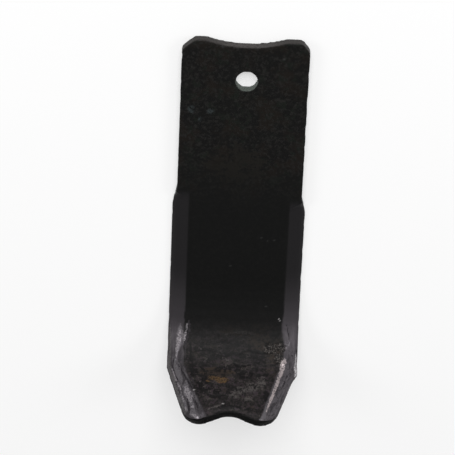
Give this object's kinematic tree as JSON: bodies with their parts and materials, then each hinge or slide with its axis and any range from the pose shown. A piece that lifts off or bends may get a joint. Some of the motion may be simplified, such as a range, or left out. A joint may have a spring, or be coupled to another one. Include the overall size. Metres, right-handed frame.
{
  "type": "rotary tiller blade",
  "caption": "Broad C-shaped tiller blade: flat shank with a bolt hole and a hollow end, faceted long edges, and a tapered foot bent up to a notched tip.",
  "frame": {"origin": "middle of the plan box, on the floor that the back of the shank lies on", "axes": "+Y along the blade towards the hollow end of the shank, +Z out of the front face, towards which the foot is bent"},
  "size_m": [0.0852, 0.249, 0.0664],
  "materials": {
    "forged_steel": "dark forging scale, with brighter drawn-out edges"
  },
  "bodies": {
    "root": {"tiller_blade": "forged_steel"}
  },
  "joints": []
}
